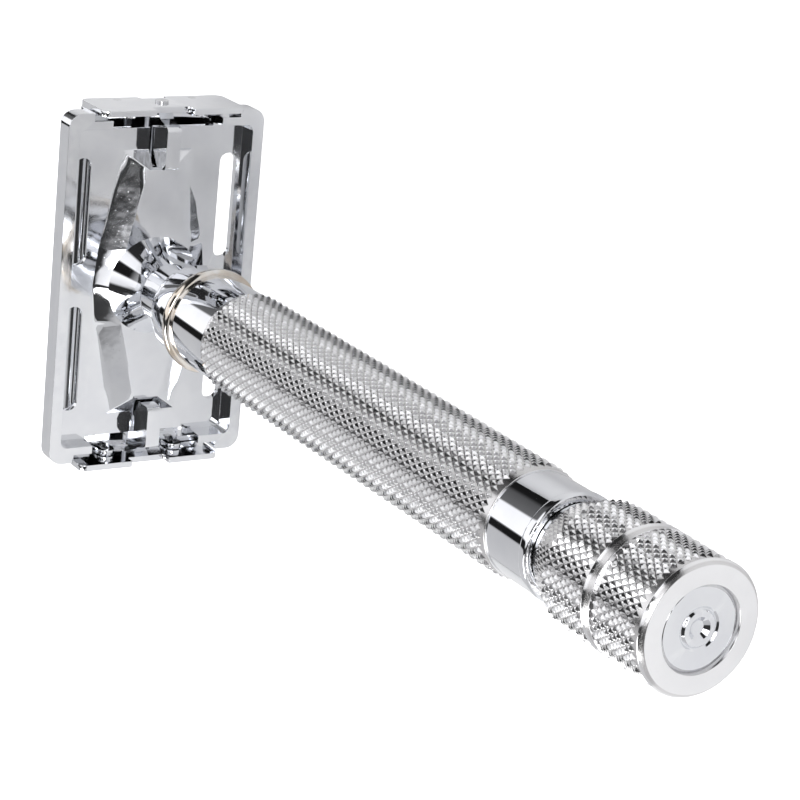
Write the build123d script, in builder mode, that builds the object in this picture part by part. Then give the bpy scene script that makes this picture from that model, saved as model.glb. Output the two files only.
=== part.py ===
"""Twist-to-open safety razor, lying on one long edge of its head.

The handle axis runs along +X towards the knob, the head is longest along Y and the floor is z = 0.
Every section is drawn in head stations: s is the distance from the guard's rim plane towards the
knob (negative towards the domed doors), w is the height above the handle axis.
"""

import os
from math import asin, atan2, cos, degrees, radians, sin

from build123d import *

# ---------------------------------------------------------------- driving sizes, millimetres
# guard
GUARD_WIDTH = 25.9
GUARD_LENGTH = 43.6
GUARD_HEIGHT = 3.2
PLATE_THICKNESS = 0.8
RIM_WIDTH = 1.45
RIM_DRAFT_ANGLE = 4
RIM_CROWN_RADIUS = 0.9
CORNER_RADIUS = 1.7
END_SETBACK = 1.0
TRAY_END_SETBACK = 1.5
LUG_THICKNESS = 0.85
END_RIM_WIDTH = 2.0
SLOT_START = 2.6
SLOT_END = 15.8
SLOT_WIDTH = 2.2
SLOT_LINE = 9.7
RIDGE_HEIGHT = 1.5
RIDGE_END_HALF_WIDTH = 1.6
RIDGE_WAIST_HALF_WIDTH = 4.0
RIDGE_WAIST_PLACE = 4.85
RIDGE_CENTRE_HALF_WIDTH = 5.9
RIDGE_SIDE_SPREAD = 3.0
RIDGE_END_SPREAD = 2.2
RIDGE_CENTRE_SPREAD = 1.6
RIDGE_SETBACK = 0.5

# doors and their hinges
HINGE_LINE = 8.3
HINGE_HEIGHT = 1.25
DOME_HEIGHT = 3.1
DOOR_THICKNESS = 0.8
DOOR_BEAD_RADIUS = 1.1
SEAM_GAP = 0.16
KNUCKLE_STEP = 0.07
KNUCKLE_RELIEF = 0.25
KNUCKLE_RELIEF_LENGTH = 4.6
KNUCKLE_RELIEF_SHIFT = 1.0
EAR_THICKNESS = 0.65
EAR_SEAM_DEPTH = 2.6
EAR_SHOULDER = 1.0
CAM_WALL = 0.55
HINGE_PIN_RADIUS = 0.5
DOOR_OPEN_ANGLE = 80

# lift bar and end caps
LIFT_TRAVEL = 3.5
LIFT_PIN_RADIUS = 0.45
LIFT_PIN_SPACING = 10.0
LIFT_PIN_DEPTH = 0.35
RAIL_HALF_LENGTH = 14.9
RAIL_WIDTH = 3.0
RAIL_THICKNESS = 0.9
RIB_WIDTH = 1.8
RIB_HEIGHT = 0.9
RIB_HALF_LENGTH = 14.0
ARM_WIDTH = 1.8
ARM_DROP = 1.7
ARM_FOOT_LENGTH = 0.8
ARM_TOE_HEIGHT = 1.9
ARM_TOE_SLOPE = 0.7
ARM_TOE_LENGTH = 0.9
ARM_THICKNESS = 1.6
ARM_SHOULDER_RADIUS = 0.6
CAP_THICKNESS = 0.75
CAP_HALF_WIDTH = 9.4
CAP_RISE = 1.7
CAP_PIN_EDGE = 1.15
CAP_CORNER_RADIUS = 1.0
CAP_NOTCH_WIDTH = 5.0
CAP_NOTCH_DEPTH = 1.4
CAP_DIP_WIDTH = 3.4
CAP_DIP_DEPTH = 0.8
CAP_INNER_CORNER_RADIUS = 0.35
CAP_RIVET_PLACE = 0.95
CAP_RIVET_DEPTH = 2.0
CAP_RIVET_HEAD = 0.3
CAP_RIVET_HEAD_HEIGHT = 0.25
CAP_RIVET_RADIUS = 0.5
STEM_RADIUS = 1.9
STEM_LENGTH = 62.0
STEM_RIVET_RADIUS = 0.9
THREAD_DEPTH = 24.0

# neck and handle, lengths along the handle axis
FLARE_RADIUS = 6.05
NECK_RADIUS = 3.7
FLARE_LENGTH = 4.2
FLARE_CURVE_RADIUS = 12.0
NECK_LENGTH = 10.0
NECK_CORE_RADIUS = 3.0
NECK_CORE_LENGTH = 18.5
COLLAR_RADIUS = 5.7
COLLAR_LENGTH = 4.6
COLLAR_EDGE_RADIUS = 0.6
RING_RADIUS = 6.35
RING_LENGTH = 1.3
RING_EDGE_RADIUS = 0.55
UPPER_FERRULE_RADIUS = 5.75
UPPER_FERRULE_LENGTH = 8.0
TUBE_RADIUS = 6.15
TUBE_WALL = 1.5
TUBE_LENGTH = 60.2
LOWER_FERRULE_RADIUS = 5.8
LOWER_FERRULE_LENGTH = 6.9
SPIGOT_LENGTH = 5.5
GUIDE_LENGTH = 6.0
GUIDE_PLACE = 2.0

# knob and spindle
KNOB_RADIUS = 6.8
KNOB_FRONT_LENGTH = 10.85
KNOB_REAR_LENGTH = 8.7
KNOB_LEAD_IN = 3.7
KNOB_LEAD_IN_RADIUS = 5.3
KNOB_GROOVE_WIDTH = 1.6
KNOB_GROOVE_DEPTH = 0.6
KNOB_END_CHAMFER = 0.8
END_PLUG_RADIUS = 4.3
END_PLUG_RECESS = 0.25
END_PLUG_DEPTH = 2.0
END_PLUG_CHAMFER = 0.25
END_DIMPLE_RADIUS = 1.25
END_DIMPLE_DEPTH = 0.45
END_DIMPLE_SLOPE = 0.5
SPINDLE_RADIUS = 1.3
JOURNAL_RADIUS = 2.0
JOURNAL_BUSH_WALL = 1.2
CROSS_PIN_RADIUS = 0.75
CROSS_PIN_GRIP = 1.0
THREAD_END_GAP = 2.0
JOURNAL_OVERRUN = 2.0
WASHER_RADIUS = 4.9
WASHER_THICKNESS = 0.5
CLIP_RADIUS = 3.4
CLIP_THICKNESS = 0.7

# fits
RUNNING_CLEARANCE = 0.06
SIDE_CLEARANCE = 0.1
END_PLAY = 0.15
GUIDE_CLEARANCE = 0.3
FIXED_GAP = 0.05
CUT_ALLOWANCE = 0.2

# ---------------------------------------------------------------- places worked out from the sizes
plate_top = -GUARD_HEIGHT
plate_underside = plate_top + PLATE_THICKNESS
ridge_top = plate_underside + RIDGE_HEIGHT
half_width = GUARD_WIDTH / 2
half_length = GUARD_LENGTH / 2

hinge_station = plate_top - HINGE_HEIGHT
seam_station = plate_top - DOME_HEIGHT
lift_pin_line = LIFT_PIN_SPACING / 2
lift_pin_station = hinge_station + LIFT_PIN_DEPTH

plate_end = half_length - END_SETBACK
ear_inner = plate_end + SIDE_CLEARANCE
ear_outer = ear_inner + EAR_THICKNESS
cap_inner = ear_outer + SIDE_CLEARANCE
cap_outer = cap_inner + CAP_THICKNESS
lug_inner = plate_end - LUG_THICKNESS
knuckle_radius = DOOR_BEAD_RADIUS - KNUCKLE_STEP
tray_end = plate_end - TRAY_END_SETBACK
tray_half_width = HINGE_LINE - knuckle_radius

rail_top = plate_top + FIXED_GAP
rail_underside = rail_top + RAIL_THICKNESS
channel_floor = rail_underside + SIDE_CLEARANCE

neck_start = ridge_top
collar_start = neck_start + NECK_LENGTH
ring_start = collar_start + COLLAR_LENGTH
ferrule_start = ring_start + RING_LENGTH
tube_start = ferrule_start + UPPER_FERRULE_LENGTH
tube_end = tube_start + TUBE_LENGTH
lower_ferrule_end = tube_end + LOWER_FERRULE_LENGTH
washer_start = lower_ferrule_end + END_PLAY
knob_start = washer_start + WASHER_THICKNESS
knob_groove = knob_start + KNOB_FRONT_LENGTH
knob_end = knob_groove + KNOB_REAR_LENGTH
core_end = neck_start + NECK_CORE_LENGTH
stem_end = rail_underside + STEM_LENGTH
tube_bore_radius = TUBE_RADIUS - TUBE_WALL
bush_radius = JOURNAL_RADIUS + RUNNING_CLEARANCE + JOURNAL_BUSH_WALL
spigot_face = tube_end - SPIGOT_LENGTH
clip_start = spigot_face - END_PLAY - CLIP_THICKNESS

RIM_X = -(seam_station + knob_end) / 2
AXIS_Z = half_width


def side_plane(y):
    """Plane across the head at length y: local x is s, local y is w, its normal is -Y."""
    return Plane(origin=(RIM_X, y, AXIS_Z), x_dir=(1, 0, 0), z_dir=(0, -1, 0))


def cross_plane(s):
    """Plane square to the handle at station s: local x is the head's length, local y is w."""
    return Plane(origin=(RIM_X + s, 0, AXIS_Z), x_dir=(0, 1, 0), z_dir=(1, 0, 0))


def finish(part, name):
    """Name a finished piece and write its file."""
    part.label = name
    export_step(part, f"parts/{name}.step")


def lathe(points):
    """Turn a closed outline of (station, radius) points round the handle axis."""
    with BuildPart() as turned:
        with BuildSketch(side_plane(0)):
            with BuildLine():
                Polyline(*points, close=True)
            make_face()
        revolve(axis=Axis((RIM_X, 0, AXIS_Z), (1, 0, 0)))
    return turned


os.makedirs("parts", exist_ok=True)


# ---------------------------------------------------------------- guard plate
def ridge_outline(end_place, end_half, waist_half, centre_half):
    """Kite outline of the raised ridge, mirrored about both middle lines."""
    quarter = [(0, centre_half), (RIDGE_WAIST_PLACE, waist_half), (end_place, end_half)]
    left = quarter + [(x, -y) for x, y in reversed(quarter)]
    right = [(-x, -y) for x, y in quarter[1:]] + [(-x, y) for x, y in reversed(quarter[1:])]
    return left + right


with BuildPart() as guard_plate:
    with BuildSketch(cross_plane(plate_top)):
        RectangleRounded(GUARD_LENGTH, GUARD_WIDTH, CORNER_RADIUS)
    extrude(amount=GUARD_HEIGHT)
    fillet(guard_plate.edges().group_by(Axis.X)[0].filter_by(Axis.Y), RIM_CROWN_RADIUS)
    # tray between the rims, open towards the handle
    with BuildSketch(cross_plane(0)):
        RectangleRounded(GUARD_LENGTH - 2 * END_RIM_WIDTH, GUARD_WIDTH - 2 * RIM_WIDTH, CORNER_RADIUS / 2)
    extrude(amount=-(GUARD_HEIGHT - PLATE_THICKNESS), taper=RIM_DRAFT_ANGLE, mode=Mode.SUBTRACT)
    # ends cut back for the ears, between the hinge lugs and between the corners
    for side in (1, -1):
        with BuildSketch(cross_plane(0)):
            with Locations((side * (half_length + tray_end) / 2, 0)):
                Rectangle(half_length - tray_end, 2 * tray_half_width)
            with Locations((side * (half_length + plate_end) / 2, 0)):
                Rectangle(half_length - plate_end, 2 * (HINGE_LINE + DOOR_BEAD_RADIUS + GUIDE_CLEARANCE))
        extrude(amount=-GUARD_HEIGHT, mode=Mode.SUBTRACT)
    # lather slots
    with BuildSketch(cross_plane(0)):
        slot_centre = (SLOT_START + SLOT_END) / 2
        with Locations(*[(a * slot_centre, b * SLOT_LINE) for a in (1, -1) for b in (1, -1)]):
            SlotOverall(SLOT_END - SLOT_START, SLOT_WIDTH)
    extrude(amount=-GUARD_HEIGHT, mode=Mode.SUBTRACT)
    # ridge over the lift bar's channel
    ridge_end = RAIL_HALF_LENGTH - RIDGE_SETBACK
    with BuildSketch(cross_plane(plate_underside)):
        Polygon(*ridge_outline(ridge_end + RIDGE_END_SPREAD, RIDGE_END_HALF_WIDTH + RIDGE_SIDE_SPREAD,
                               RIDGE_WAIST_HALF_WIDTH + RIDGE_SIDE_SPREAD,
                               RIDGE_CENTRE_HALF_WIDTH + RIDGE_CENTRE_SPREAD), align=None)
    with BuildSketch(cross_plane(ridge_top)):
        Polygon(*ridge_outline(ridge_end, RIDGE_END_HALF_WIDTH, RIDGE_WAIST_HALF_WIDTH,
                               RIDGE_CENTRE_HALF_WIDTH), align=None)
    loft(ruled=True)
    # channel for the rail, and the open ends that its arms rise through
    with BuildSketch(cross_plane(plate_top)):
        Rectangle(2 * (RAIL_HALF_LENGTH + SIDE_CLEARANCE), RAIL_WIDTH + 2 * SIDE_CLEARANCE)
    extrude(amount=channel_floor - plate_top, mode=Mode.SUBTRACT)
    arm_start = RAIL_HALF_LENGTH - SIDE_CLEARANCE
    with BuildSketch(cross_plane(plate_top)):
        for side in (1, -1):
            with Locations((side * (arm_start + half_length) / 2, 0)):
                Rectangle(half_length - arm_start + CUT_ALLOWANCE, ARM_WIDTH + 2 * GUIDE_CLEARANCE)
    extrude(amount=GUARD_HEIGHT, mode=Mode.SUBTRACT)
    # hinge lugs at the four corners, each a round knuckle on a short web
    for side in (1, -1):
        lug_outer_y = plate_end if side > 0 else -lug_inner
        with BuildSketch(side_plane(lug_outer_y)):
            for edge in (1, -1):
                with Locations((hinge_station, edge * HINGE_LINE)):
                    Circle(knuckle_radius)
                with Locations(((hinge_station + plate_underside) / 2, edge * HINGE_LINE)):
                    Rectangle(plate_underside - hinge_station, 2 * knuckle_radius)
        extrude(amount=plate_end - lug_inner)
    with BuildSketch(side_plane(plate_end)):
        with Locations((hinge_station, HINGE_LINE), (hinge_station, -HINGE_LINE)):
            Circle(HINGE_PIN_RADIUS)
    extrude(amount=2 * plate_end, mode=Mode.SUBTRACT)
    # seat of the neck, round the stem
    with BuildSketch(cross_plane(plate_top)):
        Circle(NECK_CORE_RADIUS)
    extrude(amount=GUARD_HEIGHT + RIDGE_HEIGHT, mode=Mode.SUBTRACT)
finish(guard_plate.part, "guard_plate")

# ---------------------------------------------------------------- doors
dome_rise = hinge_station - seam_station
dome_radius = (HINGE_LINE**2 + dome_rise**2 - DOOR_BEAD_RADIUS**2) / (2 * (dome_rise - DOOR_BEAD_RADIUS))
dome_centre = seam_station + dome_radius
tangent_angle = asin(HINGE_LINE / (dome_radius - DOOR_BEAD_RADIUS))


def cam_point(share):
    """Place of the lift pin, seen from the closed door, after a share of the whole travel."""
    angle = radians(DOOR_OPEN_ANGLE) * share
    inward = HINGE_LINE - lift_pin_line
    upward = hinge_station - lift_pin_station + LIFT_TRAVEL * share
    turned_in = inward * cos(angle) + upward * sin(angle)
    turned_up = upward * cos(angle) - inward * sin(angle)
    return Vector(hinge_station - turned_up, HINGE_LINE - turned_in)


CAM_STEPS = 8
cam_path = [cam_point(step / CAM_STEPS) for step in range(CAM_STEPS + 1)]


def cam_slot(radius, mode):
    """Draw the band that a circle sweeps along the cam path."""
    for start, end in zip(cam_path, cam_path[1:]):
        run = end - start
        with Locations((start + end) * 0.5):
            SlotCenterToCenter(run.length, 2 * radius, rotation=degrees(atan2(run.Y, run.X)), mode=mode)


def dome_sector():
    """Keep only what lies between the seam and the bead, seen from the dome's centre."""
    reach = 2 * dome_radius
    rim = (dome_centre - reach * cos(tangent_angle), reach * sin(tangent_angle))
    Polygon((dome_centre, 0), (dome_centre - reach, 0), rim, align=None, mode=Mode.INTERSECT)


def door(edge, name):
    """One door: an arched sheet, a bead round the hinge line and an ear at each end."""
    with BuildPart() as leaf:
        with BuildSketch(side_plane(ear_outer)):
            with Locations((dome_centre, 0)):
                Circle(dome_radius)
                Circle(dome_radius - DOOR_THICKNESS, mode=Mode.SUBTRACT)
            dome_sector()
            with Locations((hinge_station, HINGE_LINE)):
                Circle(DOOR_BEAD_RADIUS)
        extrude(amount=2 * ear_outer)
        # knuckle gaps round the guard's lugs
        relief_length = ear_inner - lug_inner + SIDE_CLEARANCE
        for outer_y in (ear_inner, relief_length - ear_inner):
            with BuildSketch(side_plane(outer_y)):
                with Locations((hinge_station - KNUCKLE_RELIEF_SHIFT, HINGE_LINE)):
                    Rectangle(KNUCKLE_RELIEF_LENGTH, 2 * (DOOR_BEAD_RADIUS + KNUCKLE_RELIEF))
            extrude(amount=relief_length, mode=Mode.SUBTRACT)
        for outer_y in (ear_outer, -ear_inner):
            with BuildSketch(side_plane(outer_y)):
                with Locations((dome_centre, 0)):
                    Circle(dome_radius - DOOR_THICKNESS / 2)
                dome_sector()
                Polygon((seam_station, 0), (seam_station + EAR_SEAM_DEPTH, 0),
                        (hinge_station, lift_pin_line - EAR_SHOULDER),
                        (hinge_station + DOOR_BEAD_RADIUS, lift_pin_line),
                        (hinge_station + DOOR_BEAD_RADIUS, HINGE_LINE), (seam_station, HINGE_LINE),
                        align=None, mode=Mode.INTERSECT)
                cam_slot(LIFT_PIN_RADIUS + RUNNING_CLEARANCE + CAM_WALL, Mode.ADD)
            extrude(amount=EAR_THICKNESS)
            with BuildSketch(side_plane(outer_y)):
                cam_slot(LIFT_PIN_RADIUS + RUNNING_CLEARANCE, Mode.ADD)
                with Locations((hinge_station, HINGE_LINE)):
                    Circle(HINGE_PIN_RADIUS + RUNNING_CLEARANCE)
            extrude(amount=EAR_THICKNESS, mode=Mode.SUBTRACT)
        # the seam is square, with a hair of room between the two doors
        with BuildSketch(side_plane(ear_outer)):
            with Locations((seam_station, 0)):
                Rectangle(3 * DOME_HEIGHT, SEAM_GAP)
        extrude(amount=2 * ear_outer, mode=Mode.SUBTRACT)
    if edge < 0:
        with BuildPart() as leaf_below:
            add(mirror(leaf.part, about=Plane.XY.offset(AXIS_Z)))
        leaf = leaf_below
    finish(leaf.part, name)
    return leaf


upper_door = door(1, "upper_door")
lower_door = door(-1, "lower_door")

for end, y_low in (("left", lug_inner), ("right", -ear_outer)):
    for edge, level in (("upper", 1), ("lower", -1)):
        with BuildPart() as hinge_pin:
            with BuildSketch(side_plane(y_low + ear_outer - lug_inner)):
                with Locations((hinge_station, level * HINGE_LINE)):
                    Circle(HINGE_PIN_RADIUS)
            extrude(amount=ear_outer - lug_inner)
        finish(hinge_pin.part, f"hinge_pin_{end}_{edge}")

# ---------------------------------------------------------------- lift bar, its end caps and stem
rivet_station = rail_top + CAP_RIVET_PLACE
arm_foot = RAIL_HALF_LENGTH - ARM_FOOT_LENGTH
toe_top = rail_top + ARM_TOE_HEIGHT
with BuildPart() as lift_bar:
    with BuildSketch(cross_plane(rail_top)):
        Rectangle(2 * RAIL_HALF_LENGTH, RAIL_WIDTH)
    extrude(amount=RAIL_THICKNESS)
    with BuildSketch(cross_plane(rail_top)):
        SlotOverall(2 * RIB_HALF_LENGTH, RIB_WIDTH)
    extrude(amount=-RIB_HEIGHT)
    with BuildSketch(Plane(origin=(RIM_X, 0, AXIS_Z - ARM_WIDTH / 2), x_dir=(1, 0, 0), z_dir=(0, 0, 1))):
        for side in (1, -1):
            Polygon((rail_top, side * arm_foot), (rail_top, side * cap_inner), (toe_top, side * cap_inner),
                    (toe_top + ARM_TOE_SLOPE, side * (cap_inner - ARM_TOE_LENGTH)),
                    (ARM_DROP, side * (cap_inner - ARM_THICKNESS)), (ARM_DROP, side * RAIL_HALF_LENGTH),
                    (rail_underside, side * RAIL_HALF_LENGTH), (rail_underside, side * arm_foot), align=None)
    extrude(amount=ARM_WIDTH)
    arm_shoulders = lift_bar.edges().filter_by(Axis.Z).group_by(Axis.X)[-1].group_by(SortBy.LENGTH)[-1]
    fillet(arm_shoulders, ARM_SHOULDER_RADIUS)
    with BuildSketch(cross_plane(rail_top - RIB_HEIGHT)):
        Circle(STEM_RIVET_RADIUS)
    extrude(amount=RAIL_THICKNESS + RIB_HEIGHT, mode=Mode.SUBTRACT)
    for outer_y in (cap_inner, CAP_RIVET_DEPTH - cap_inner):
        with BuildSketch(side_plane(outer_y)):
            with Locations((rivet_station, 0)):
                Circle(CAP_RIVET_RADIUS)
        extrude(amount=CAP_RIVET_DEPTH, mode=Mode.SUBTRACT)
finish(lift_bar.part, "lift_bar")

cap_low = lift_pin_station - CAP_PIN_EDGE
for end, outer_y in (("left", cap_outer), ("right", -cap_inner)):
    with BuildPart() as end_cap:
        with BuildSketch(side_plane(outer_y)):
            with Locations(((CAP_RISE + cap_low) / 2, 0)):
                RectangleRounded(CAP_RISE - cap_low, 2 * CAP_HALF_WIDTH, CAP_CORNER_RADIUS)
            with Locations((CAP_RISE, 0)):
                RectangleRounded(2 * CAP_NOTCH_DEPTH, CAP_NOTCH_WIDTH, CAP_INNER_CORNER_RADIUS, mode=Mode.SUBTRACT)
            with Locations((cap_low, 0)):
                RectangleRounded(2 * CAP_DIP_DEPTH, CAP_DIP_WIDTH, CAP_INNER_CORNER_RADIUS, mode=Mode.SUBTRACT)
        extrude(amount=CAP_THICKNESS)
        with BuildSketch(side_plane(outer_y)):
            with Locations((rivet_station, 0)):
                Circle(CAP_RIVET_RADIUS)
            with Locations((lift_pin_station, lift_pin_line), (lift_pin_station, -lift_pin_line)):
                Circle(LIFT_PIN_RADIUS)
        extrude(amount=CAP_THICKNESS, mode=Mode.SUBTRACT)
    finish(end_cap.part, f"end_cap_{end}")

for end, outer_y in (("left", cap_outer), ("right", -ear_inner)):
    for edge, level in (("upper", 1), ("lower", -1)):
        with BuildPart() as lift_pin:
            with BuildSketch(side_plane(outer_y)):
                with Locations((lift_pin_station, level * lift_pin_line)):
                    Circle(LIFT_PIN_RADIUS)
            extrude(amount=cap_outer - ear_inner)
        finish(lift_pin.part, f"lift_pin_{end}_{edge}")

for end, shank_y, head_y in (("left", cap_outer, cap_outer + CAP_RIVET_HEAD_HEIGHT),
                             ("right", CAP_RIVET_DEPTH - cap_inner, -cap_outer)):
    with BuildPart() as cap_rivet:
        with BuildSketch(side_plane(shank_y)):
            with Locations((rivet_station, 0)):
                Circle(CAP_RIVET_RADIUS)
        extrude(amount=CAP_RIVET_DEPTH + CAP_THICKNESS)
        with BuildSketch(side_plane(head_y)):
            with Locations((rivet_station, 0)):
                Circle(CAP_RIVET_RADIUS + CAP_RIVET_HEAD)
        extrude(amount=CAP_RIVET_HEAD_HEIGHT)
    finish(cap_rivet.part, f"cap_rivet_{end}")

stem_head = rail_top - RIB_HEIGHT
lift_stem = lathe([
    (stem_head, 0), (stem_head, STEM_RIVET_RADIUS), (rail_underside, STEM_RIVET_RADIUS),
    (rail_underside, STEM_RADIUS), (stem_end, STEM_RADIUS), (stem_end, SPINDLE_RADIUS + RUNNING_CLEARANCE),
    (stem_end - THREAD_DEPTH, SPINDLE_RADIUS + RUNNING_CLEARANCE), (stem_end - THREAD_DEPTH, 0)])
finish(lift_stem.part, "lift_stem")

# ---------------------------------------------------------------- neck and handle
stem_bore = STEM_RADIUS + GUIDE_CLEARANCE
with BuildPart() as neck_flare:
    with BuildSketch(side_plane(0)):
        with BuildLine():
            Polyline((channel_floor, stem_bore), (channel_floor, NECK_CORE_RADIUS),
                     (neck_start, NECK_CORE_RADIUS), (neck_start, FLARE_RADIUS))
            RadiusArc((neck_start, FLARE_RADIUS), (neck_start + FLARE_LENGTH, NECK_RADIUS), FLARE_CURVE_RADIUS)
            Polyline((neck_start + FLARE_LENGTH, NECK_RADIUS), (collar_start, NECK_RADIUS),
                     (collar_start, NECK_CORE_RADIUS), (core_end, NECK_CORE_RADIUS),
                     (core_end, stem_bore), (channel_floor, stem_bore))
        make_face()
    revolve(axis=Axis((RIM_X, 0, AXIS_Z), (1, 0, 0)))
finish(neck_flare.part, "neck_flare")

with BuildPart() as neck_collar:
    add(lathe([(collar_start, NECK_CORE_RADIUS), (collar_start, COLLAR_RADIUS),
               (ring_start, COLLAR_RADIUS), (ring_start, NECK_CORE_RADIUS)]).part)
    fillet(neck_collar.edges().group_by(Axis.X)[0].filter_by(GeomType.CIRCLE).sort_by(SortBy.RADIUS)[-1],
           COLLAR_EDGE_RADIUS)
finish(neck_collar.part, "neck_collar")

with BuildPart() as neck_ring:
    add(lathe([(ring_start, NECK_CORE_RADIUS), (ring_start, RING_RADIUS),
               (ferrule_start, RING_RADIUS), (ferrule_start, NECK_CORE_RADIUS)]).part)
    fillet(neck_ring.edges().filter_by(GeomType.CIRCLE).sort_by(SortBy.RADIUS)[-2:],
           RING_EDGE_RADIUS)
finish(neck_ring.part, "neck_ring")

upper_ferrule = lathe([
    (ferrule_start, NECK_CORE_RADIUS), (ferrule_start, UPPER_FERRULE_RADIUS),
    (tube_start, UPPER_FERRULE_RADIUS), (tube_start, tube_bore_radius),
    (tube_start + SPIGOT_LENGTH, tube_bore_radius), (tube_start + SPIGOT_LENGTH, stem_bore),
    (core_end, stem_bore), (core_end, NECK_CORE_RADIUS)])
finish(upper_ferrule.part, "upper_ferrule")

handle_tube = lathe([(tube_start, tube_bore_radius), (tube_start, TUBE_RADIUS),
                     (tube_end, TUBE_RADIUS), (tube_end, tube_bore_radius)])
finish(handle_tube.part, "handle_tube")

guide_start = stem_end - LIFT_TRAVEL - GUIDE_PLACE - GUIDE_LENGTH
stem_guide = lathe([(guide_start, STEM_RADIUS + RUNNING_CLEARANCE), (guide_start, tube_bore_radius),
                    (guide_start + GUIDE_LENGTH, tube_bore_radius),
                    (guide_start + GUIDE_LENGTH, STEM_RADIUS + RUNNING_CLEARANCE)])
finish(stem_guide.part, "stem_guide")

lower_ferrule = lathe([
    (spigot_face, bush_radius), (spigot_face, tube_bore_radius), (tube_end, tube_bore_radius),
    (tube_end, LOWER_FERRULE_RADIUS), (lower_ferrule_end, LOWER_FERRULE_RADIUS),
    (lower_ferrule_end, bush_radius)])
finish(lower_ferrule.part, "lower_ferrule")

journal_bush = lathe([
    (spigot_face, JOURNAL_RADIUS + RUNNING_CLEARANCE), (spigot_face, bush_radius),
    (lower_ferrule_end, bush_radius), (lower_ferrule_end, JOURNAL_RADIUS + RUNNING_CLEARANCE)])
finish(journal_bush.part, "journal_bush")

# ---------------------------------------------------------------- knob and spindle
spindle_start = stem_end - THREAD_DEPTH + THREAD_END_GAP
plug_start = knob_end - END_PLUG_DEPTH
journal_start = clip_start - JOURNAL_OVERRUN
pin_station = knob_start + KNOB_FRONT_LENGTH / 2
plug_face = knob_end - END_PLUG_RECESS
spindle = lathe([(spindle_start, 0), (spindle_start, SPINDLE_RADIUS), (journal_start, SPINDLE_RADIUS),
                 (journal_start, JOURNAL_RADIUS), (plug_start, JOURNAL_RADIUS), (plug_start, 0)])
with BuildPart() as drilled_spindle:
    add(spindle.part)
    with BuildSketch(Plane(origin=(RIM_X + pin_station, 0, AXIS_Z), z_dir=(0, 0, 1))):
        Circle(CROSS_PIN_RADIUS)
    extrude(amount=2 * JOURNAL_RADIUS, both=True, mode=Mode.SUBTRACT)
finish(drilled_spindle.part, "spindle")

groove_half = KNOB_GROOVE_WIDTH / 2
with BuildPart() as knob_barrel:
    add(lathe([
        (knob_start, JOURNAL_RADIUS), (knob_start, KNOB_LEAD_IN_RADIUS), (knob_start + KNOB_LEAD_IN, KNOB_RADIUS),
        (knob_groove - groove_half, KNOB_RADIUS), (knob_groove, KNOB_RADIUS - KNOB_GROOVE_DEPTH),
        (knob_groove + groove_half, KNOB_RADIUS), (knob_end - KNOB_END_CHAMFER, KNOB_RADIUS),
        (knob_end, KNOB_RADIUS - KNOB_END_CHAMFER), (knob_end, END_PLUG_RADIUS),
        (plug_start, END_PLUG_RADIUS), (plug_start, JOURNAL_RADIUS)]).part)
    with BuildSketch(Plane(origin=(RIM_X + pin_station, 0, AXIS_Z), z_dir=(0, 0, 1))):
        Circle(CROSS_PIN_RADIUS)
    extrude(amount=JOURNAL_RADIUS + CROSS_PIN_GRIP + JOURNAL_RADIUS, both=True, mode=Mode.SUBTRACT)
finish(knob_barrel.part, "knob_barrel")

with BuildPart() as cross_pin:
    with BuildSketch(Plane(origin=(RIM_X + pin_station, 0, AXIS_Z), z_dir=(0, 0, 1))):
        Circle(CROSS_PIN_RADIUS)
    extrude(amount=JOURNAL_RADIUS + CROSS_PIN_GRIP + JOURNAL_RADIUS, both=True)
finish(cross_pin.part, "cross_pin")

knob_end_plug = lathe([
    (plug_start, 0), (plug_start, END_PLUG_RADIUS), (plug_face - END_PLUG_CHAMFER, END_PLUG_RADIUS),
    (plug_face, END_PLUG_RADIUS - END_PLUG_CHAMFER), (plug_face, END_DIMPLE_RADIUS),
    (plug_face - END_DIMPLE_DEPTH, END_DIMPLE_RADIUS - END_DIMPLE_SLOPE), (plug_face - END_DIMPLE_DEPTH, 0)])
finish(knob_end_plug.part, "knob_end_plug")

thrust_washer = lathe([(washer_start, JOURNAL_RADIUS), (washer_start, WASHER_RADIUS),
                       (knob_start, WASHER_RADIUS), (knob_start, JOURNAL_RADIUS)])
finish(thrust_washer.part, "thrust_washer")

retaining_clip = lathe([(clip_start, JOURNAL_RADIUS), (clip_start, CLIP_RADIUS),
                        (clip_start + CLIP_THICKNESS, CLIP_RADIUS),
                        (clip_start + CLIP_THICKNESS, JOURNAL_RADIUS)])
finish(retaining_clip.part, "retaining_clip")
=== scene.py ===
"""Chrome twist-to-open safety razor: finishes, knurling, polished castings, studio and camera."""

import logging
import math
from collections.abc import Sequence
from dataclasses import dataclass
from enum import Enum

import bmesh
import bpy
from mathutils import Matrix, Vector


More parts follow.
